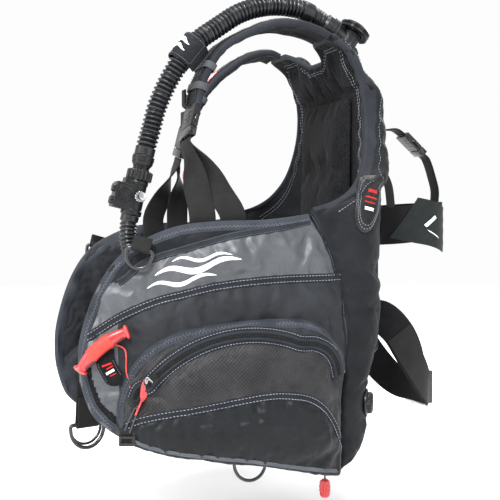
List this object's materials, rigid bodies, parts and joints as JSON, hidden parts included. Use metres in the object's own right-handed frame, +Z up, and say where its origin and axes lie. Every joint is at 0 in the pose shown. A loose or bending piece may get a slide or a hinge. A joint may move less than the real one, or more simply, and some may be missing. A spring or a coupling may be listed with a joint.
{
  "type": "buoyancy compensator vest",
  "caption": "Scuba buoyancy vest with side lobes, zipped pockets, shoulder straps, corrugated inflator hose, ripcord handle and tank bands.",
  "frame": {"origin": "middle of the flat tank face of the backplate", "axes": "+Y out of the tank face, away from the diver, +Z up, and +X to the diver's left"},
  "size_m": [0.3952, 0.6065, 0.704],
  "materials": {
    "nylon": "matt woven nylon",
    "coated": "coated nylon with a low sheen",
    "spacer": "padded spacer mesh",
    "webbing": "woven webbing",
    "hook": "hook-and-loop tape",
    "plastic": "moulded acetal, satin",
    "red": "moulded, soft gloss",
    "rubber": "ribbed moulded rubber",
    "steel": "polished",
    "black_steel": "black coated steel"
  },
  "bodies": {
    "vest": {"rear_air_cell": "nylon", "back_pad": "spacer", "neck_yoke": "nylon", "backplate": "plastic", "grab_handle": "webbing", "lobe_left": "coated", "cargo_pocket_left": "nylon", "pocket_zip_left": "rubber", "shoulder_pad_left": "nylon", "shoulder_socket_left": "plastic", "lobe_ring_keeper_left": "webbing", "lobe_right": "coated", "cargo_pocket_right": "nylon", "pocket_zip_right": "rubber", "shoulder_pad_right": "nylon", "shoulder_socket_right": "plastic", "lobe_ring_keeper_right": "webbing", "hip_ring_keeper": "webbing", "waist_strap": "webbing", "sternum_strap_left": "webbing", "sternum_socket": "plastic", "tank_band_lower": "webbing", "cam_frame": "plastic", "cam_pin": "steel", "tank_band_upper": "hook", "upper_strap": "webbing", "upper_socket": "plastic", "valve_flange": "plastic", "hose_elbow": "plastic", "elbow_cap": "plastic", "hose_cuff": "rubber", "inflator_hose": "rubber", "hose_keeper": "hook", "inflator_body": "plastic", "quick_nipple": "steel", "oral_tube": "rubber", "dump_valve_right": "plastic", "dump_valve_lower": "plastic"},
    "left_zip_slider": {"zip_slider_left": "red"},
    "right_zip_slider": {"zip_slider_right": "red"},
    "left_prong": {"shoulder_prong_left": "plastic", "chest_webbing_left": "webbing"},
    "right_prong": {"shoulder_prong_right": "plastic", "chest_webbing_right": "webbing"},
    "sternum_prong_end": {"sternum_prong": "plastic", "sternum_strap_right": "webbing"},
    "upper_prong_end": {"upper_prong": "plastic", "upper_strap_tail": "webbing"},
    "cam_lever_arm": {"cam_lever": "plastic"},
    "inflate_key": {"inflate_button": "plastic"},
    "deflate_key": {"deflate_button": "plastic"},
    "left_lobe_ring": {"lobe_ring_left": "black_steel"},
    "right_lobe_ring": {"lobe_ring_right": "black_steel"},
    "left_hip_ring": {"hip_ring": "black_steel"},
    "right_waist_ring": {"waist_ring": "black_steel"},
    "shoulder_dump_pull": {"dump_knob": "red"},
    "lower_dump_pull": {"dump_toggle": "red"},
    "ripcord": {"ripcord_handle": "red", "ripcord_tab": "webbing"}
  },
  "joints": [
    {"name": "zip_left", "type": "hinge", "parent": "vest", "child": "left_zip_slider", "pos_m": [0.18036, -0.22016, -0.29], "axis": [0.9872, -0.1597, 0], "range_deg": [-67, 0]},
    {"name": "zip_right", "type": "hinge", "parent": "vest", "child": "right_zip_slider", "pos_m": [-0.18036, -0.22016, -0.29], "axis": [-0.9872, -0.1597, 0], "range_deg": [0, 67]},
    {"name": "release_left", "type": "slide", "parent": "vest", "child": "left_prong", "axis": [0.1558, -0.2448, -0.957], "range_m": [0, 0.03], "deforming": ["chest_webbing_left"]},
    {"name": "release_right", "type": "slide", "parent": "vest", "child": "right_prong", "axis": [-0.1774, -0.2027, -0.963], "range_m": [0, 0.03], "deforming": ["chest_webbing_right"]},
    {"name": "release_sternum", "type": "slide", "parent": "vest", "child": "sternum_prong_end", "axis": [-0.947, 0.3157, -0.0592], "range_m": [0, 0.025], "deforming": ["sternum_strap_right"]},
    {"name": "release_upper", "type": "slide", "parent": "vest", "child": "upper_prong_end", "axis": [0, 0.7507, -0.6606], "range_m": [0, 0.025], "deforming": ["upper_strap_tail"]},
    {"name": "cam_lever", "type": "hinge", "parent": "vest", "child": "cam_lever_arm", "pos_m": [-0.034, 0.1373, -0.218], "axis": [0, 0, 1], "range_deg": [0, 100]},
    {"name": "inflate", "type": "slide", "parent": "vest", "child": "inflate_key", "axis": [0, 0.973, -0.2307], "range_m": [0, 0.004], "stiffness_N_per_m": 700},
    {"name": "deflate", "type": "slide", "parent": "vest", "child": "deflate_key", "axis": [0, 0.973, -0.2307], "range_m": [0, 0.004], "stiffness_N_per_m": 700},
    {"name": "ring_left", "type": "hinge", "parent": "vest", "child": "left_lobe_ring", "pos_m": [0.13925, -0.36069, 0.004], "axis": [0.2915, 0.9255, -0.2419], "range_deg": [-110, 0]},
    {"name": "ring_right", "type": "hinge", "parent": "vest", "child": "right_lobe_ring", "pos_m": [-0.13925, -0.36069, 0.004], "axis": [-0.2915, 0.9255, -0.2419], "range_deg": [0, 110]},
    {"name": "ring_hip", "type": "hinge", "parent": "vest", "child": "left_hip_ring", "pos_m": [0.13291, -0.20665, -0.283], "axis": [0.1075, 0.9942, 0], "range_deg": [0, 80]},
    {"name": "ring_waist", "type": "hinge", "parent": "vest", "child": "right_waist_ring", "pos_m": [-0.0873, -0.38706, -0.262], "axis": [-0.3526, 0.9358, 0], "range_deg": [-80, 0]},
    {"name": "dump_shoulder", "type": "slide", "parent": "vest", "child": "shoulder_dump_pull", "axis": [0, 0, -1], "range_m": [0, 0.012], "stiffness_N_per_m": 400},
    {"name": "dump_lower", "type": "slide", "parent": "vest", "child": "lower_dump_pull", "axis": [0, 0, -1], "range_m": [0, 0.012], "stiffness_N_per_m": 400},
    {"name": "ripcord_pull", "type": "slide", "parent": "vest", "child": "ripcord", "axis": [0.932, -0.3625, 0], "range_m": [0, 0.06]}
  ]
}
